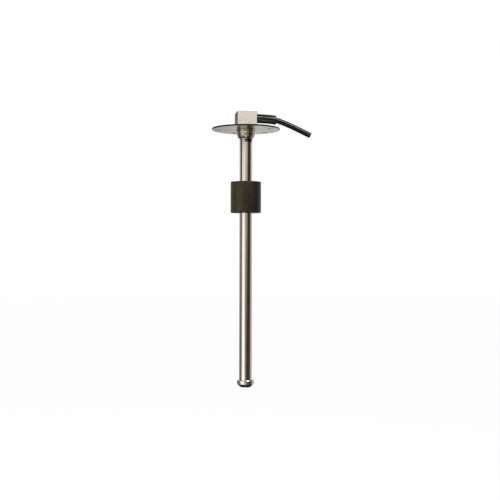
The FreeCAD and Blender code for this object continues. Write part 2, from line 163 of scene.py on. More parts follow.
class Level:
    """A number that varies over a surface, with the usual arithmetic."""

    def __init__(self, shading, socket):
        self.shading = shading
        self.socket = socket

    def _math(self, operation, *values):
        made = self.shading.node("ShaderNodeMath", {"operation": operation}, dict(enumerate(values)))
        return Level(self.shading, made.outputs[0])

    def __add__(self, other):
        return self._math("ADD", self, other)

    def __radd__(self, other):
        return self._math("ADD", other, self)

    def __sub__(self, other):
        return self._math("SUBTRACT", self, other)

    def __rsub__(self, other):
        return self._math("SUBTRACT", other, self)

    def __mul__(self, other):
        return self._math("MULTIPLY", self, other)

    def __rmul__(self, other):
        return self._math("MULTIPLY", other, self)

    def __truediv__(self, other):
        return self._math("DIVIDE", self, other)

    def __pow__(self, other):
        return self._math("POWER", self, other)

    def __abs__(self):
        return self._math("ABSOLUTE", self)

    def fraction(self):
        return self._math("FRACT", self)

    def between(self, start, end):
        """0 at start, 1 at end, held beyond both."""
        made = self.shading.node("ShaderNodeMapRange", {"clamp": True},
                                 {"Value": self, "From Min": start, "From Max": end})
        return Level(self.shading, made.outputs["Result"])


class Shading:
    """A tree of shader nodes."""

    def __init__(self, tree):
        self.tree = tree

    def node(self, kind, settings=None, sockets=None):
        """Makes a node, then sets its options, then its sockets from values or links."""
        made = self.tree.nodes.new(kind)
        for option, value in (settings or {}).items():
            setattr(made, option, value)
        for key, value in (sockets or {}).items():
            self.feed(made.inputs[key], value)
        return made

    def feed(self, socket, value):
        if isinstance(value, Level):
            value = value.socket
        if isinstance(value, bpy.types.NodeSocket):
            self.tree.links.new(value, socket)
        else:
            socket.default_value = value

    def mixed(self, share, first, second):
        """A colour between two others."""
        made = self.node("ShaderNodeMix", {"data_type": "RGBA"}, {0: share, 6: first, 7: second})
        return made.outputs[2]

    def seen_by(self, *rays):
        """1 for rays of the named kinds."""
        path = self.node("ShaderNodeLightPath")
        return sum((Level(self, path.outputs[f"Is {ray} Ray"]) for ray in rays), 0.0)


class Finish(Shading):
    """A material with a Principled BSDF, and helpers for what feeds it."""

    def __init__(self, name, constants=None):
        self.material = bpy.data.materials.new(name)
        self.material.use_nodes = True
        super().__init__(self.material.node_tree)
        self.shader = self.tree.nodes["Principled BSDF"]
        for socket, value in (constants or {}).items():
            self.shader.inputs[socket].default_value = value
        self.place = self.node("ShaderNodeTexCoord").outputs["Object"]
        parts = self.node("ShaderNodeSeparateXYZ", {}, {0: self.place})
        self.x, self.y, self.z = [Level(self, parts.outputs[i]) for i in range(3)]

    def stretched(self, x, y, z):
        """The surface's place with each axis scaled, for a grain."""
        made = self.node("ShaderNodeMapping", {}, {"Vector": self.place, "Scale": (x, y, z)})
        return made.outputs[0]

    def radius(self):
        return (self.x * self.x + self.y * self.y) ** 0.5

    def turned(self):
        """A place that is the same all round the tube's axis, for marks left by a lathe."""
        made = self.node("ShaderNodeCombineXYZ", {}, {0: self.radius(), 1: self.z})
        return made.outputs[0]

    def noise(self, place, scale, detail=2.0, roughness=0.5):
        made = self.node("ShaderNodeTexNoise", {}, {"Vector": place, "Scale": scale,
                                                    "Detail": detail, "Roughness": roughness})
        return Level(self, made.outputs["Fac"])

    def specks(self, scale, size):
        """1 in scattered round specks, 0 between them."""
        made = self.node("ShaderNodeTexVoronoi", {"feature": "F1"},
                         {"Vector": self.place, "Scale": scale})
        return 1.0 - Level(self, made.outputs["Distance"]).between(size * 0.6, size)

    def colour(self, value):
        self.feed(self.shader.inputs["Base Color"], value)

    def rough(self, value):
        self.feed(self.shader.inputs["Roughness"], value)

    def metal(self, value):
        self.feed(self.shader.inputs["Metallic"], value)

    def relief(self, height, depth, strength=1.0):
        """A bump whose height of 1 is this many metres."""
        made = self.node("ShaderNodeBump", {}, {"Strength": strength, "Distance": depth,
                                                "Height": height})
        self.feed(self.shader.inputs["Normal"], made.outputs[0])


# Finishes


def polished_tube(looks):
    """Drawn and polished stainless tube with faint lines along it, and a dark patch of painted shade just
    below the collar.
    """
    steel = Finish("polished_tube", {"Metallic": 1.0})
    lines = steel.noise(steel.stretched(1.0, 1.0, 0.01), 5000.0, 3.0)
    smear = steel.noise(steel.place, 70.0, 3.0)
    foot = low("tube_collar")[2]
    # Painted shade: a nearly black patch on one side of the tube just below the collar's weld
    shade_low, shade_high = foot - 2.5 * MM, foot - 0.5 * MM
    shade_left, shade_right = -1.6 * MM, -0.4 * MM
    painted_shade_patch = (steel.z + smear * 6.0 * MM).between(shade_low, shade_high)
    painted_shade_patch = painted_shade_patch * (steel.x + smear * 2.0 * MM).between(shade_left, shade_right)
    drawn = steel.mixed(lines * 0.5 + smear * 0.5, looks.tube_dark, looks.tube_light)
    steel.colour(steel.mixed(painted_shade_patch * 0.95, drawn, looks.tube_painted_shade))
    steel.rough(0.06 + lines * 0.05 + smear.between(0.45, 0.75) * 0.06)
    steel.relief(lines, 0.000003, 0.6)
    return steel.material


def turned_steel(looks):
    """Turned and polished steel with the lathe's fine rings."""
    steel = Finish("turned_steel", {"Metallic": 1.0})
    rings = steel.noise(steel.turned(), 6000.0, 2.0)
    smear = steel.noise(steel.place, 220.0, 2.0)
    steel.colour(steel.mixed(rings * 0.4 + smear * 0.6, looks.tube_dark, looks.tube_light))
    steel.rough(0.09 + rings * 0.08 + smear.between(0.4, 0.8) * 0.08)
    steel.relief(rings, 0.00003, 0.8)
    return steel.material


def heated_steel(sizes, looks):
    """The collar: turned steel with an olive weld tint and painted shade above its brow, a painted
    highlight on its chamfer and painted shade in its bowl.
    """
    constants = {"Metallic": 1.0, "Anisotropic": 0.9, "Anisotropic Rotation": 0.25}
    steel = Finish("heated_steel", constants)
    rings = steel.noise(steel.turned(), 6000.0, 2.0)
    smear = steel.noise(steel.place, 260.0, 3.0)
    blend = 0.3 * MM
    brow = -sizes.collar_brow
    brink = brow - sizes.collar_step
    # Olive band from the brow up to the flange: weld heat tint, and painted shade under the flange
    heat_tint_and_shade = (steel.z + smear * 0.5 * MM).between(brow, brow + blend)
    # Painted highlight: the chamfer is coloured near white for the light it catches
    brim = steel.z.between(brink - blend, brink)
    # Painted shade: the bowl below the chamfer is darker steel than the tube, for the shade it faces
    bowl = steel.mixed(rings * 0.4 + smear * 0.6, looks.bowl_painted_shade_dark, looks.bowl_painted_shade_light)
    shaded_bowl_and_lit_brim = steel.mixed(brim, bowl, looks.collar_chamfer_painted_highlight)
    tinted_and_shaded = steel.mixed(smear.between(0.35, 0.65), looks.heat_tint_and_shade_dark, looks.heat_tint_and_shade_light)
    steel.colour(steel.mixed(heat_tint_and_shade, shaded_bowl_and_lit_brim, tinted_and_shaded))
    steel.rough(0.24 + rings * 0.08 + smear.between(0.4, 0.8) * 0.08)
    steel.relief(rings, 0.000006, 0.6)
    return steel.material


def rolled_sheet(looks):
    """Cold rolled stainless sheet with rolling grain and faint smudges, and a turned rim painted near
    black as shade.
    """
    steel = Finish("rolled_sheet", {"Metallic": 1.0})
    grain = steel.noise(steel.stretched(0.06, 1.0, 1.0), 5200.0, 3.0)
    smudge = steel.noise(steel.place, 60.0, 4.0, 0.6)
    rim = high("mounting_flange")[0]
    face_end, rim_start = rim - 0.45 * MM, rim - 0.3 * MM
    # Painted shade: the turned rim is coloured near black
    face = 1.0 - steel.radius().between(face_end, rim_start)
    sheet = steel.mixed(grain * 0.4 + smudge * 0.6, looks.sheet_dark, looks.sheet_light)
    steel.colour(steel.mixed(face, looks.rim_painted_shade, sheet))
    steel.rough(0.07 + face * (0.09 + grain * 0.08 + smudge.between(0.4, 0.7) * 0.08))
    steel.relief(grain, 0.000006, 0.5)
    return steel.material


def brushed_cover(looks):
    """Brushed steel of the head cover, a little warm, with level brush strokes, and painted shade along
    its upper edges.
    """
    steel = Finish("brushed_cover", {"Metallic": 1.0})
    strokes = steel.noise(steel.stretched(0.05, 0.05, 1.0), 6500.0, 4.0, 0.6)
    cloud = steel.noise(steel.place, 130.0, 2.0)
    top = high("head_cover")[2]
    side_end, edge_start = top - 0.5 * MM, top - 0.35 * MM
    # Painted shade: the upper edges are darkened to dull their highlight
    edge = steel.z.between(side_end, edge_start)
    brushed = steel.mixed(strokes * 0.7 + cloud * 0.3, looks.cover_dark, looks.cover_light)
    steel.colour(steel.mixed(edge, brushed, looks.cover_edge_painted_shade))
    steel.rough(0.15 + strokes * 0.10)
    steel.relief(strokes, 0.00001, 0.6)
    return steel.material


def weld_metal(looks):
    """Bare weld metal with a straw tint of heat."""
    bead = Finish("weld_metal", {"Metallic": 1.0})
    tint = bead.noise(bead.place, 500.0, 2.0)
    bead.colour(bead.mixed(tint.between(0.35, 0.7), looks.weld_straw, looks.weld_grey))
    bead.rough(0.22 + tint * 0.2)
    bead.relief(bead.noise(bead.place, 3000.0, 2.0), 0.00002, 0.6)
    return bead.material


def foam_rubber(looks):
    """Moulded closed cell rubber: nearly black and warm, with fine pores in a soft sheen, and painted
    shade in the pores.
    """
    foam = Finish("foam_rubber", {"Specular IOR Level": 0.22})
    skin = foam.noise(foam.place, 90.0, 4.0, 0.6)
    pores = foam.specks(2200.0, 0.32)
    grain = foam.noise(foam.place, 5200.0, 2.0)
    brown = foam.mixed(skin.between(0.3, 0.7), looks.foam_dark, looks.foam_light)
    # Painted shade: the pores are coloured darker than the rubber round them
    foam.colour(foam.mixed(pores * 0.6, brown, looks.pore_painted_shade))
    foam.rough(0.32 + skin * 0.14 + pores * 0.2)
    foam.relief(grain * 0.4 - pores * 0.8 + skin * 0.6, 0.00003, 0.6)
    return foam.material


def shrink_sleeve(looks):
    """Black shrink sleeve with a satin skin."""
    skin = Finish("shrink_sleeve", {"Specular IOR Level": 0.33})
    haze = skin.noise(skin.place, 260.0, 3.0)
    grain = skin.noise(skin.place, 4200.0, 2.0)
    skin.colour(skin.mixed(haze, looks.sleeve_dark, looks.sleeve_light))
    skin.rough(0.16 + haze * 0.08)
    skin.relief(grain, 0.000006, 0.4)
    return skin.material


def cable_sheath(looks):
    """Glossy black cable sheath with faint draw marks."""
    sheath = Finish("cable_sheath", {"Specular IOR Level": 0.16})
    haze = sheath.noise(sheath.place, 300.0, 3.0)
    marks = sheath.noise(sheath.place, 2600.0, 2.0)
    sheath.colour(sheath.mixed(haze, looks.sheath_dark, looks.sheath_light))
    sheath.rough(0.07 + haze * 0.05)
    sheath.relief(marks, 0.000005, 0.4)
    return sheath.material


def insulation(name, colour):
    """Smooth insulation of a core."""
    plastic = Finish(name)
    haze = plastic.noise(plastic.place, 900.0, 2.0)
    plastic.colour(plastic.mixed(haze * 0.5, colour, rgb(*[part * 0.5 for part in colour[:3]])))
    plastic.rough(0.30 + haze * 0.12)
    plastic.relief(haze, 0.00001, 0.5)
    return plastic.material


def copper(looks):
    """Fine bare copper strands."""
    wire = Finish("copper", {"Metallic": 1.0})
    tarnish = wire.noise(wire.place, 2500.0, 2.0)
    wire.colour(wire.mixed(tarnish, looks.copper_dark, looks.copper_light))
    wire.rough(0.24 + tarnish * 0.14)
    wire.relief(tarnish, 0.00001, 0.5)
    return wire.material


def ferrite(looks):
    """Sintered magnet, matt and grainy."""
    magnet = Finish("ferrite")
    grain = magnet.noise(magnet.place, 3000.0, 3.0)
    magnet.colour(magnet.mixed(grain, looks.ferrite_dark, looks.ferrite_light))
    magnet.rough(0.55 + grain * 0.2)
    magnet.relief(grain, 0.00003, 0.6)
    return magnet.material


def board_laminate(looks):
    """Solder mask over a woven glass laminate."""
    board = Finish("board_laminate")
    warp = board.noise(board.stretched(1.0, 1.0, 0.1), 1600.0, 1.0)
    weft = board.noise(board.stretched(0.1, 1.0, 1.0), 1600.0, 1.0)
    board.colour(board.mixed(warp * weft * 2.0, looks.mask_dark, looks.mask_light))
    board.rough(0.32 + warp * 0.12)
    board.relief(warp + weft, 0.00001, 0.5)
    return board.material


def liner_film(looks):
    """Amber insulating film rolled inside the tube."""
    film = Finish("liner_film")
    haze = film.noise(film.place, 150.0, 3.0)
    film.colour(film.mixed(haze, looks.film_dark, looks.film_light))
    film.rough(0.26 + haze * 0.2)
    film.relief(haze, 0.00002, 0.4)
    return film.material


def potting_resin(looks):
    """Black resin with a wavy, glossy surface."""
    resin = Finish("potting_resin")
    flow = resin.noise(resin.place, 200.0, 3.0)
    resin.colour(resin.mixed(flow, looks.resin_dark, looks.resin_light))
    resin.rough(0.16 + flow * 0.16)
    resin.relief(flow, 0.00008, 0.5)
    return resin.material


def beyond_middles(finish, first, step, half):
    """0 within half of the middle of each piece in an even row along the tube, 1 beyond it."""
    along = abs(((finish.z - first) / step + 0.5).fraction() - 0.5) * abs(step)
    return along.between(half * 0.99, half * 1.01)


def middle_height(node):
    return (low(node)[2] + high(node)[2]) / 2


def reed_glass(looks):
    """Green tinted glass round the contacts, and tinned leads and solder beyond it."""
    reed = Finish("reed_glass")
    first = middle_height("reed_switch_01")
    step = middle_height("reed_switch_02") - first
    glass_half = 5.0 * MM
    lead = beyond_middles(reed, first, step, glass_half)
    ripple = reed.noise(reed.place, 1500.0, 2.0)
    glass = reed.mixed(ripple, looks.glass_dark, looks.glass_light)
    reed.colour(reed.mixed(lead, glass, looks.tinned))
    reed.metal(lead)
    reed.rough(0.10 + lead * 0.2 + ripple * 0.06)
    reed.relief(ripple, 0.00001, 0.5)
    return reed.material


def chip_ceramic(looks):
    """A dark coated chip with tinned caps."""
    chip = Finish("chip_ceramic")
    first = middle_height("resistor_01")
    step = middle_height("resistor_02") - first
    coat_half = 1.1 * MM
    cap = beyond_middles(chip, first, step, coat_half)
    grain = chip.noise(chip.place, 4000.0, 2.0)
    coat = chip.mixed(grain, looks.sheath_dark, looks.ferrite_dark)
    chip.colour(chip.mixed(cap, coat, looks.tinned))
    chip.metal(cap)
    chip.rough(0.28 + grain * 0.2)
    chip.relief(grain, 0.00001, 0.5)
    return chip.material


# Meshes


def place(shape, name, material):
    """Puts a finished bmesh into the scene."""
    mesh = bpy.data.meshes.new(name)
    shape.to_mesh(mesh)
    shape.free()
    mesh.materials.append(material)
    piece = bpy.data.objects.new(name, mesh)
    bpy.context.scene.collection.objects.link(piece)
    return piece


def keep(shape, name, body, material, smooth_angle=35.0):
    """Makes a piece of a finished bmesh and lets it ride on a body."""
    bmesh.ops.recalc_face_normals(shape, faces=shape.faces)
    limit = math.radians(smooth_angle)
    for face in shape.faces:
        face.smooth = True
    for edge in shape.edges:
        edge.smooth = not edge.is_manifold or edge.calc_face_angle() < limit
    piece = place(shape, name, material)
    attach(piece, body)
    return piece


def dress(node, material):
    """Gives a CAD node its finish."""
    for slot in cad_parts[node].material_slots:
        slot.link = "OBJECT"
        slot.material = material


def bridge(shape, here, there):
    """Faces between two rings of as many corners."""
    count = len(here)
    for i in range(count):
        j = (i + 1) % count
        shape.faces.new((here[i], here[j], there[j], there[i]))


def loop_of(shape, rings):
    """Faces between each ring and the next, and from the last to the first."""
    for here, there in zip(rings, rings[1:] + rings[:1]):
        bridge(shape, here, there)
    return shape


def turned_shape(steps, section):
    """A closed section turned about the tube's axis; its corners (out, up) may vary with angle."""
    shape = bmesh.new()
    rings = []
    for i in range(steps):
        angle = 2 * math.pi * i / steps
        rings.append([shape.verts.new((out * math.cos(angle), out * math.sin(angle), up))
                      for out, up in section(angle)])
    return loop_of(shape, rings)


def bead_section(size, drop):
    """Corners (out, up) of a weld bead in a corner: a hollow quarter round."""
    root = -0.1 * size
    corners = [(root, 0.0)]
    for i in range(BEAD_STEPS + 1):
        turn = math.pi / 2 * i / BEAD_STEPS
        corners.append((size * (1 - math.sin(turn)), drop * size * (1 - math.cos(turn))))
    corners.append((root, drop * size))
    return corners


def ring_weld(radius, height, size, drop):
    """A bead round the tube's axis, with the fine ripple of a turned seam."""

    def section(angle):
        fine, slow = 0.06 * math.sin(48 * angle), 0.04 * math.sin(7 * angle)
        return [(radius + out, height + up) for out, up in bead_section(size * (1 + fine + slow), drop)]

    return turned_shape(WELD_STEPS, section)


def route_curve(name):
    """The cable's smooth middle line, whose control points are its route."""
    curve = bpy.data.curves.new(name, "CURVE")
    curve.dimensions = "3D"
    curve.resolution_u = 16
    spline = curve.splines.new("NURBS")
    spline.points.add(len(CABLE_ROUTE) - 1)
    for (x, z), point in zip(CABLE_ROUTE, spline.points):
        point.co = (MM * x, 0.0, MM * z, 1.0)
    spline.order_u = 3
    spline.use_endpoint_u = True
    return curve


def cable_line():
    """Close points along the cable's middle line, in metres."""
    curve = route_curve("cable_line")
    holder = bpy.data.objects.new("cable_line", curve)
    bpy.context.scene.collection.objects.link(holder)
    mesh = bpy.data.meshes.new_from_object(holder)
    line = [vertex.co.copy() for vertex in mesh.vertices]
    bpy.data.objects.remove(holder)
    bpy.data.curves.remove(curve)
    bpy.data.meshes.remove(mesh)
    return line


def spot_on(line, distance):
    """The point at a distance along a line, and the line's direction there."""
    for here, there in zip(line, line[1:]):
        step = (there - here).length
        if distance <= step:
            break
        distance -= step
    along = (there - here).normalized()
    return here + along * distance, along


def distance_to(line, x):
    """How far along a line its X reaches a value."""
    distance = 0.0
    for here, there in zip(line, line[1:]):
        if there.x >= x:
            return distance + (there - here).length * (x - here.x) / (there.x - here.x)
        distance += (there - here).length
    return distance


def ring_round(shape, centre, along, radius, steps):
    """A ring of corners square to a direction in the XZ plane; its radius may vary with angle."""
    side = Vector((0, 1, 0))
    up = side.cross(along).normalized()
    corners = []
    for i in range(steps):
        angle = 2 * math.pi * i / steps
        reach = radius(angle) if callable(radius) else radius
        corners.append(shape.verts.new(centre + (side * math.cos(angle) + up * math.sin(angle)) * reach))
    return corners


# Sizes and colours


def length_of(name, description, default):
    return bpy.props.FloatProperty(name=name, description=description, default=default,
                                   min=0.00001, unit="LENGTH", precision=5)


def tint(name, description, colour):
    return bpy.props.FloatVectorProperty(name=name, description=description, default=rgb(*colour),
                                         size=4, min=0.0, max=1.0, subtype="COLOR")


class SENDER_PG_sizes(bpy.types.PropertyGroup):
    """Real sizes of the pieces that the looks add, in metres."""

    cable_diameter: length_of("Cable", "Diameter of the cable's sheath", 0.0055)
    core_diameter: length_of("Core", "Diameter of an insulated core", 0.0017)
    core_offset: length_of("Core offset", "From the cable's middle line to a core's", 0.001)
    strand_diameter: length_of("Strand", "Diameter of one copper strand", 0.0003)
    collar_brow: length_of("Collar brow", "Flange to the chamfer on the collar", 0.0022)
    collar_step: length_of("Collar step", "Height of that chamfer, twice its width", 0.0005)
    collar_tip: length_of("Collar tip", "Diameter of the collar's lower face", 0.0134)
    collar_bore: length_of("Collar bore", "Diameter of the collar's seat for the tube", 0.0128)
    sleeve_diameter: length_of("Sleeve", "Diameter of the strain relief sleeve", 0.0091)
    sleeve_rounding: length_of("Sleeve rounding", "Rounding of the sleeve's ends", 0.0006)
    sleeve_ripple: length_of("Sleeve ripple", "Unevenness of the sleeve's skin", 0.000015)
    collar_bead: length_of("Collar bead", "Weld between the collar and the flange", 0.0006)
    tube_bead: length_of("Tube bead", "Weld between the tube and the collar", 0.0007)
    stop_bead: length_of("Stop bead", "Weld between the tube and the end stop", 0.0005)
    cover_bead: length_of("Cover bead", "Weld at the foot of the head cover", 0.0005)
    cover_corner: length_of("Cover corner", "Radius of the cover's upright corners", 0.0008)


class SENDER_PG_looks(bpy.types.PropertyGroup):
    """Colours of the finishes."""

    tube_dark: tint("Tube, dark", "Polished steel in its darker lines", (0.58, 0.55, 0.52))
    tube_light: tint("Tube, light", "Polished steel in its lighter lines", (0.72, 0.69, 0.66))
    # Painted shade: the nearly black patch on the tube just below the collar
    tube_painted_shade: tint("Tube, heat tint", "Tube where its weld has tinted it", (0.035, 0.020, 0.007))
    sheet_dark: tint("Sheet, dark", "Rolled sheet in its darker grain", (0.52, 0.49, 0.48))
    sheet_light: tint("Sheet, light", "Rolled sheet in its lighter grain", (0.68, 0.65, 0.64))
    # Painted shade on the flange's turned rim
    rim_painted_shade: tint("Sheet, rim", "Turned rim of the flange", (0.05, 0.048, 0.045))
    # Painted highlight on the collar's chamfer
    collar_chamfer_painted_highlight: tint("Collar, chamfer", "Bright chamfer on the collar", (0.92, 0.90, 0.84))
    # Painted shade in the collar's bowl
    bowl_painted_shade_dark: tint("Collar, dark", "Collar's bowl, darker", (0.32, 0.30, 0.26))
    bowl_painted_shade_light: tint("Collar, light", "Collar's bowl, lighter", (0.50, 0.48, 0.42))
    # Painted shade along the cover's upper edges
    cover_edge_painted_shade: tint("Cover, edge", "Cover along its upper edges", (0.24, 0.22, 0.20))
    # Collar's olive band under the flange: weld heat tint and painted shade
    heat_tint_and_shade_dark: tint("Heat tint, dark", "Collar's heat tint, darker", (0.20, 0.21, 0.14))
    heat_tint_and_shade_light: tint("Heat tint, light", "Collar's heat tint, lighter", (0.40, 0.41, 0.29))
    cover_dark: tint("Cover, dark", "Brushed cover between its strokes", (0.72, 0.67, 0.63))
    cover_light: tint("Cover, light", "Brushed cover in its strokes", (0.92, 0.88, 0.85))
    weld_straw: tint("Weld, straw", "Weld metal where the heat has tinted it", (0.42, 0.36, 0.28))
    weld_grey: tint("Weld, grey", "Weld metal where it stayed grey", (0.55, 0.53, 0.52))
    foam_dark: tint("Float, dark", "Rubber of the float, darker", (0.015, 0.008, 0.003))
    foam_light: tint("Float, light", "Rubber of the float, lighter", (0.022, 0.019, 0.011))
    # Painted shade in the float's pores
    pore_painted_shade: tint("Float, pore", "Rubber of the float in its pores", (0.010, 0.007, 0.004))
    sleeve_dark: tint("Sleeve, dark", "Shrink sleeve, darker", (0.003, 0.003, 0.003))
    sleeve_light: tint("Sleeve, light", "Shrink sleeve, lighter", (0.008, 0.007, 0.006))
    sheath_dark: tint("Cable, dark", "Cable's sheath, darker", (0.002, 0.002, 0.003))
    sheath_light: tint("Cable, light", "Cable's sheath, lighter", (0.006, 0.006, 0.006))
    core_red: tint("Red core", "Insulation of the front core", (0.50, 0.03, 0.02))
    core_black: tint("Black core", "Insulation of the back core", (0.02, 0.02, 0.02))
    copper_dark: tint("Copper, dark", "Tarnished copper", (0.72, 0.36, 0.20))
    copper_light: tint("Copper, light", "Bright copper", (0.90, 0.52, 0.34))
    ferrite_dark: tint("Magnet, dark", "Ferrite, darker", (0.030, 0.030, 0.033))
    ferrite_light: tint("Magnet, light", "Ferrite, lighter", (0.075, 0.075, 0.080))
    mask_dark: tint("Board, dark", "Solder mask, darker", (0.015, 0.09, 0.035))
    mask_light: tint("Board, light", "Solder mask, lighter", (0.04, 0.20, 0.08))
    film_dark: tint("Liner, dark", "Insulating film, darker", (0.60, 0.46, 0.16))
    film_light: tint("Liner, light", "Insulating film, lighter", (0.76, 0.62, 0.30))
    resin_dark: tint("Resin, dark", "Potting, darker", (0.010, 0.010, 0.011))
    resin_light: tint("Resin, light", "Potting, lighter", (0.030, 0.030, 0.032))
    glass_dark: tint("Glass, dark", "Reed switch glass, darker", (0.10, 0.26, 0.14))
    glass_light: tint("Glass, light", "Reed switch glass, lighter", (0.22, 0.42, 0.24))
    tinned: tint("Tinned", "Tinned leads, caps and solder", (0.72, 0.71, 0.68))
    floor: tint("Floor", "Paper of the floor", (0.92, 0.92, 0.92))
    floor_shade: tint("Floor, shade", "Paper of the floor in its fibres", (0.90, 0.90, 0.90))


# Operators


class SENDER_OT_steelwork(bpy.types.Operator):
    """Finish the flange, cover, collar, tube and end stop, and add their weld beads"""

    bl_idname = "sender.steelwork"
    bl_label = "Steelwork"

    def execute(self, context):
        sizes = context.scene.sender_sizes
        looks = context.scene.sender_looks
        turned = turned_steel(looks)
        dress("mounting_flange", rolled_sheet(looks))
        dress("head_cover", brushed_cover(looks))
        dress("sensor_tube", polished_tube(looks))
        heated = heated_steel(sizes, looks)
        dress("tube_collar", heated)
        dress("end_stop", turned)
        skin = keep(self.collar_skin(sizes), "collar_skin", "sender", heated,
                    smooth_angle=12.0)
        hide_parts("tube_collar")
        weld = weld_metal(looks)
        collar = high("tube_collar")[0]
        tube = high("sensor_tube")[0]
        rings = [
            ("collar_weld", collar, 0.0, sizes.collar_bead, -1),
            ("tube_weld", tube, low("tube_collar")[2], sizes.tube_bead, -1),
            ("stop_weld", tube, high("end_stop")[2], sizes.stop_bead, 1),
        ]
        for name, radius, height, size, drop in rings:
            keep(ring_weld(radius, height, size, drop), name, "sender", weld)
        keep(self.cover_weld(sizes), "cover_weld", "sender", weld)
        return {"FINISHED"}

    def collar_skin(self, sizes):
        """The collar, whose side ends in a narrow chamfer above a soft bowl."""
        reach, foot = high("tube_collar")[0], low("tube_collar")[2]
        top, tip, bore = high("tube_collar")[2], sizes.collar_tip / 2, sizes.collar_bore / 2
        brim = reach - sizes.collar_step / 2
        start = -sizes.collar_brow - sizes.collar_step
        corners = [(bore, foot), (bore, top), (reach, top), (reach, -sizes.collar_brow), (brim, start)]
        for i in range(1, BOWL_STEPS + 1):
            turn = math.pi / 2 * i / BOWL_STEPS
            corners.append((tip + (brim - tip) * math.cos(turn), start + (foot - start) * math.sin(turn)))
        return turned_shape(COLLAR_STEPS, lambda angle: corners)

    def cover_weld(self, sizes):
        """A fine bead round the cover's foot, along a square with rounded corners."""
        foot = low("head_cover")[2]
        reach = high("head_cover")[0] - sizes.cover_corner
        path = []
        for quarter in range(4):
            start = math.pi / 2 * quarter
            turn = start + math.pi / 4
            middle = Vector((math.cos(turn), math.sin(turn), 0)) * (reach * math.sqrt(2))
            for i in range(COVER_CORNER_STEPS + 1):
                angle = start + math.pi / 2 * i / COVER_CORNER_STEPS
                out = Vector((math.cos(angle), math.sin(angle), 0))
                path.append((middle + out * sizes.cover_corner, out))
        places = []
        spacing = 0.4 * MM
        for (here, out), (there, next_out) in zip(path, path[1:] + path[:1]):
            count = max(1, round((there - here).length / spacing))
            places += [(here.lerp(there, i / count), out.lerp(next_out, i / count).normalized())
                       for i in range(count)]
        shape = bmesh.new()
        rings = []
        for number, (foot_point, out) in enumerate(places):
            swell = sizes.cover_bead * (1 + 0.08 * math.sin(number * 1.9))
            rings.append([shape.verts.new(foot_point + out * aside + Vector((0, 0, foot + up)))
                          for aside, up in bead_section(swell, 1)])
        return loop_of(shape, rings)


class SENDER_OT_float(bpy.types.Operator):
    """Finish the float and the magnet inside it"""

    bl_idname = "sender.float"
    bl_label = "Float"

    def execute(self, context):
        looks = context.scene.sender_looks
        dress("float_body", foam_rubber(looks))
        dress("float_magnet", ferrite(looks))
        return {"FINISHED"}


class SENDER_OT_sensing_board(bpy.types.Operator):
    """Finish the board in the tube, its reed switches and resistors, its liner and the potting"""

    bl_idname = "sender.sensing_board"
    bl_label = "Sensing board"

    def execute(self, context):
        looks = context.scene.sender_looks
        dress("reed_board", board_laminate(looks))
        dress("board_liner", liner_film(looks))
        dress("potting", potting_resin(looks))
        glass = reed_glass(looks)
        ceramic = chip_ceramic(looks)
        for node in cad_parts:
            if node.startswith("reed_switch_"):
                dress(node, glass)
            if node.startswith("resistor_"):
                dress(node, ceramic)
        return {"FINISHED"}


class SENDER_OT_cable(bpy.types.Operator):
    """Lay the cable along its route, with its two cores and its square cut end"""

    bl_idname = "sender.cable"
    bl_label = "Cable"

    def execute(self, context):
        sizes = context.scene.sender_sizes
        looks = context.scene.sender_looks
        sheath = cable_sheath(looks)
        curve = route_curve("cable")
        curve.bevel_depth = sizes.cable_diameter / 2
        curve.bevel_resolution = 12
        curve.use_fill_caps = True
        curve.materials.append(sheath)
        cable = bpy.data.objects.new("cable", curve)
        context.scene.collection.objects.link(cable)
        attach(cable, "sender")
        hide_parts("cable_sheath")
        dress("cable_sheath", sheath)
        bare = copper(looks)
        dress("core_wire_front", bare)
        dress("core_wire_back", bare)
        red = insulation("core_red", looks.core_red)
        black = insulation("core_black", looks.core_black)
        dress("cable_core_front", red)
        dress("cable_core_back", black)
        line = cable_line()
        length = sum((there - here).length for here, there in zip(line, line[1:]))
        end, along = spot_on(line, length)
        for side, plastic, slot in ((-1, red, "core_red"), (1, black, "core_black")):
            middle = end + Vector((0, side * sizes.core_offset, 0))
            core = self.core_end(sizes, middle, along)
            keep(core, slot + "_end", "sender", plastic)
            wires = self.strands(sizes, middle, along)
            keep(wires, slot + "_strands", "sender", bare)
        outlet = spot_on(line, distance_to(line, high("strain_relief_sleeve")[0]))[0]
        return {"FINISHED"}

    def core_end(self, sizes, middle, along):
        """The cut ring of a core's insulation, a hair proud of the cable's cut face."""
        outer = sizes.core_diameter / 2
        inner = outer * 0.55
        sunk, proud = -0.02, 0.03
        profile = [(outer, sunk), (outer * 0.97, proud), (inner * 1.05, proud), (inner, sunk)]
        shape = bmesh.new()
        rings = [ring_round(shape, middle + along * (MM * out), along, radius, CORE_STEPS)
                 for radius, out in profile]
        return loop_of(shape, rings)

    def strands(self, sizes, middle, along):
        """Seven copper strands, each cut with a small dome."""
        radius = sizes.strand_diameter / 2
        side = Vector((0, 1, 0))
        up = side.cross(along).normalized()
        spots = [Vector((0, 0, 0))]
        for i in range(6):
            angle = math.pi / 3 * i
            spots.append((side * math.cos(angle) + up * math.sin(angle)) * 2 * radius)
        foot, shoulder, dome, tip = -0.02, 0.015, 0.03, 0.036
        profile = [(radius, foot), (radius, shoulder), (radius * 0.8, dome), (radius * 0.35, tip)]
        shape = bmesh.new()
        for spot in spots:
            rings = [ring_round(shape, middle + spot + along * (MM * out), along, size, STRAND_STEPS)
                     for size, out in profile]
            for here, there in zip(rings, rings[1:]):
                bridge(shape, here, there)
            shape.faces.new(reversed(rings[0]))
            shape.faces.new(rings[-1])
        return shape


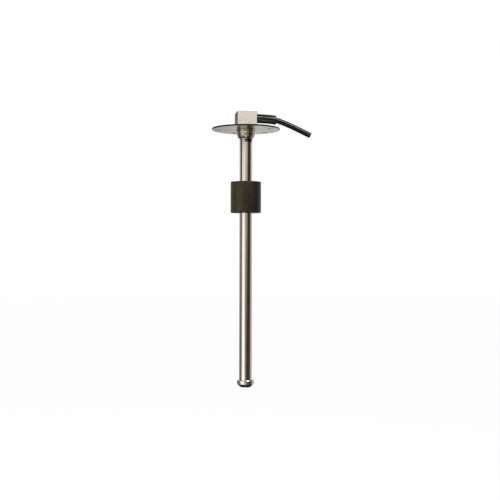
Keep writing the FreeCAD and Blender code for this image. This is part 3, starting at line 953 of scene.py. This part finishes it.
class SENDER_OT_sleeve(bpy.types.Operator):
    """Shrink the strain relief sleeve over the cable, with rounded ends and an uneven skin"""

    bl_idname = "sender.sleeve"
    bl_label = "Strain relief sleeve"

    def execute(self, context):
        sizes = context.scene.sender_sizes
        rubber = shrink_sleeve(context.scene.sender_looks)
        dress("strain_relief_sleeve", rubber)
        line = cable_line()
        start = distance_to(line, low("strain_relief_sleeve")[0])
        end = distance_to(line, high("strain_relief_sleeve")[0] - 0.1 * MM)
        outer = sizes.sleeve_diameter / 2
        clearance = 0.02 * MM
        inner = sizes.cable_diameter / 2 + clearance
        rounding = sizes.sleeve_rounding
        ripple = sizes.sleeve_ripple
        squared = 5 * MM

        def profile():
            """Corners (distance, radius) from the bore at one end, along the skin, to the other."""
            edge = [math.pi / 2 * i / SLEEVE_EDGE_STEPS for i in range(SLEEVE_EDGE_STEPS + 1)]
            yield start, inner
            for turn in edge:
                yield start + rounding * (1 - math.sin(turn)), outer - rounding * (1 - math.cos(turn))
            for i in range(1, SLEEVE_RINGS):
                yield start + rounding + (end - start - 2 * rounding) * i / SLEEVE_RINGS, outer
            for turn in edge:
                yield end - rounding * (1 - math.cos(turn)), outer - rounding * (1 - math.sin(turn))
            yield end, inner

        shape = bmesh.new()
        rings = []
        for distance, radius in profile():
            centre, along = spot_on(line, distance)
            upright = max(0.0, 1 - min(distance - start, end - distance) / squared)
            along = along.lerp(Vector((1, 0, 0)), 0.8 * upright).normalized()
            swell = ripple * (radius / outer) ** 4

            def reach(angle):
                wave = math.sin(distance * 2900 + 1.3 * math.sin(2 * angle))
                slow = math.sin(distance * 700 + 3 * angle)
                return radius + swell * (0.4 * wave + 0.6 * slow - 1.0)

            rings.append(ring_round(shape, centre, along, reach, SLEEVE_STEPS))
        skin = keep(loop_of(shape, rings), "sleeve_skin", "sender", rubber)
        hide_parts("strain_relief_sleeve")
        return {"FINISHED"}


class SENDER_OT_studio(bpy.types.Operator):
    """Set up the pale floor, the soft lights, the reflection cards and the camera"""

    bl_idname = "sender.studio"
    bl_label = "Studio"

    def execute(self, context):
        self.world(context)
        self.floor(context.scene.sender_looks)
        for name, turns, rises, foot, top in CARDS:
            self.card(name, turns, rises, foot, top)
        self.lamp(context, "key", azimuth=-62, height=0.5, side=0.9, power=30.0)
        self.lamp(context, "fill", azimuth=60, height=0.3, side=1.0, power=2.0)
        self.camera(context)
        context.scene.view_settings.view_transform = "Standard"
        return {"FINISHED"}

    def world(self, context):
        """White where it is seen or mirrored, a little less as a light."""
        world = bpy.data.worlds.new("studio")
        context.scene.world = world
        world.use_nodes = True
        shading = Shading(world.node_tree)
        lit = 0.3
        seen = shading.seen_by("Camera", "Glossy", "Transmission").between(0.0, 1.0)
        sky = shading.tree.nodes["Background"]
        shading.feed(sky.inputs["Color"], rgb(1.0, 1.0, 1.0))
        shading.feed(sky.inputs["Strength"], lit + seen * (1.0 - lit))

    def floor(self, looks):
        """A wide pale floor well below the sender."""
        paper = Finish("floor_paper", {"Specular IOR Level": 0.1, "Emission Strength": 1.0})
        fibre = paper.noise(paper.place, 40.0, 3.0)
        pale = paper.mixed(fibre, looks.floor, looks.floor_shade)
        seen = paper.seen_by("Camera")
        black = rgb(0.0, 0.0, 0.0)
        glow = rgb(FLOOR_GLOW, FLOOR_GLOW, FLOOR_GLOW)
        paper.colour(paper.mixed(seen * FLOOR_DULLED, pale, black))
        paper.rough(0.85 + fibre * 0.1)
        paper.feed(paper.shader.inputs["Emission Color"], paper.mixed(seen, black, glow))
        shape = bmesh.new()
        corners = [(-1, -1), (1, -1), (1, 1), (-1, 1)]
        shape.faces.new([shape.verts.new((x * FLOOR_REACH, y * FLOOR_REACH, FLOOR_HEIGHT))
                         for x, y in corners])
        sheet = place(shape, "floor", paper.material)
        sheet.visible_glossy = False

    def card(self, name, turns, rises, foot, top):
        """A bent card that only shows as a reflection; its glow varies across it and upwards."""
        shape = bmesh.new()
        fade = shape.loops.layers.uv.new("fade")
        uprights = []
        for i in range(CARD_STEPS + 1):
            share = i / CARD_STEPS
            angle = math.radians(CAMERA_AZIMUTH + turns[0] + (turns[1] - turns[0]) * share)
            upright = []
            for j in range(CARD_STEPS + 1):
                rise = math.radians(rises[0] + (rises[1] - rises[0]) * j / CARD_STEPS)
                flat = CARD_RADIUS * math.cos(rise)
                spot = (flat * math.sin(angle), -flat * math.cos(angle), CARD_RADIUS * math.sin(rise))
                upright.append((shape.verts.new(spot), (share, j / CARD_STEPS)))
            uprights.append(upright)
        for here, there in zip(uprights, uprights[1:]):
            for j in range(CARD_STEPS):
                corners = (here[j], there[j], there[j + 1], here[j + 1])
                face = shape.faces.new([corner for corner, _ in corners])
                for loop, (_, share) in zip(face.loops, corners):
                    loop[fade].uv = share
        material = bpy.data.materials.new(name)
        material.use_nodes = True
        shading = Shading(material.node_tree)
        shading.tree.nodes.clear()
        shares = shading.node("ShaderNodeUVMap", {"uv_map": "fade"}).outputs[0]
        parts = shading.node("ShaderNodeSeparateXYZ", {}, {0: shares})
        across = Level(shading, parts.outputs[0])
        up = Level(shading, parts.outputs[1])
        foot_glow = shading.mixed(across, rgb(*foot[0]), rgb(*foot[1]))
        top_glow = shading.mixed(across, rgb(*top[0]), rgb(*top[1]))
        glow = shading.mixed(up ** CARD_FADE, foot_glow, top_glow)
        glowing = shading.node("ShaderNodeEmission", {}, {"Color": glow})
        shading.node("ShaderNodeOutputMaterial", {}, {"Surface": glowing.outputs[0]})
        card = place(shape, name, material)
        card.visible_camera = False
        card.visible_diffuse = False
        card.visible_shadow = False
        card.visible_transmission = False

    def lamp(self, context, name, azimuth, height, side, power):
        """A soft square lamp, placed by its turn from the camera."""
        data = bpy.data.lights.new(name, "AREA")
        data.shape = "SQUARE"
        data.size = side
        data.energy = power
        lamp = bpy.data.objects.new(name, data)
        angle = math.radians(CAMERA_AZIMUTH + azimuth)
        lamp.location = (LAMP_DISTANCE * math.sin(angle), -LAMP_DISTANCE * math.cos(angle), height)
        lamp.rotation_euler = (LAMP_AIM - lamp.location).to_track_quat("-Z", "Y").to_euler()
        lamp.visible_glossy = False
        context.scene.collection.objects.link(lamp)

    def camera(self, context):
        """The photograph's view."""
        data = bpy.data.cameras.new("photo_view")
        data.lens = CAMERA_LENS
        data.clip_start = 0.01
        camera = bpy.data.objects.new("photo_view", data)
        angle = math.radians(CAMERA_AZIMUTH)
        back = Vector((math.sin(angle), -math.cos(angle), 0))
        right = Vector((math.cos(angle), math.sin(angle), 0))
        camera.location = back * CAMERA_DISTANCE + right * CAMERA_ASIDE
        camera.location.z = CAMERA_HEIGHT
        camera.rotation_euler = (-back).to_track_quat("-Z", "Y").to_euler()
        camera.rotation_euler.rotate_axis("Z", math.radians(CAMERA_ROLL))
        context.scene.collection.objects.link(camera)
        context.scene.camera = camera


OPERATORS = (
    SENDER_OT_steelwork,
    SENDER_OT_float,
    SENDER_OT_sensing_board,
    SENDER_OT_cable,
    SENDER_OT_sleeve,
    SENDER_OT_studio,
)


class SENDER_PT_panel(bpy.types.Panel):
    """The pieces in the 3D view's sidebar"""

    bl_idname = "SENDER_PT_panel"
    bl_label = "Level sender"
    bl_space_type = "VIEW_3D"
    bl_region_type = "UI"
    bl_category = "Level sender"

    def draw(self, context):
        for operator in OPERATORS:
            self.layout.operator(operator.bl_idname)
        for group in (context.scene.sender_sizes, context.scene.sender_looks):
            column = self.layout.column()
            for name in group.__annotations__:
                column.prop(group, name)


CLASSES = (SENDER_PG_sizes, SENDER_PG_looks, *OPERATORS, SENDER_PT_panel)


def register():
    for made in CLASSES:
        bpy.utils.register_class(made)
    bpy.types.Scene.sender_sizes = bpy.props.PointerProperty(type=SENDER_PG_sizes)
    bpy.types.Scene.sender_looks = bpy.props.PointerProperty(type=SENDER_PG_looks)


def unregister():
    del bpy.types.Scene.sender_looks
    del bpy.types.Scene.sender_sizes
    for made in reversed(CLASSES):
        bpy.utils.unregister_class(made)


def main():
    """Builds every piece and the stage."""
    register()
    for operator in OPERATORS:
        group, name = operator.bl_idname.split(".")
        getattr(getattr(bpy.ops, group), name)()


if __name__ == "__main__":
    main()
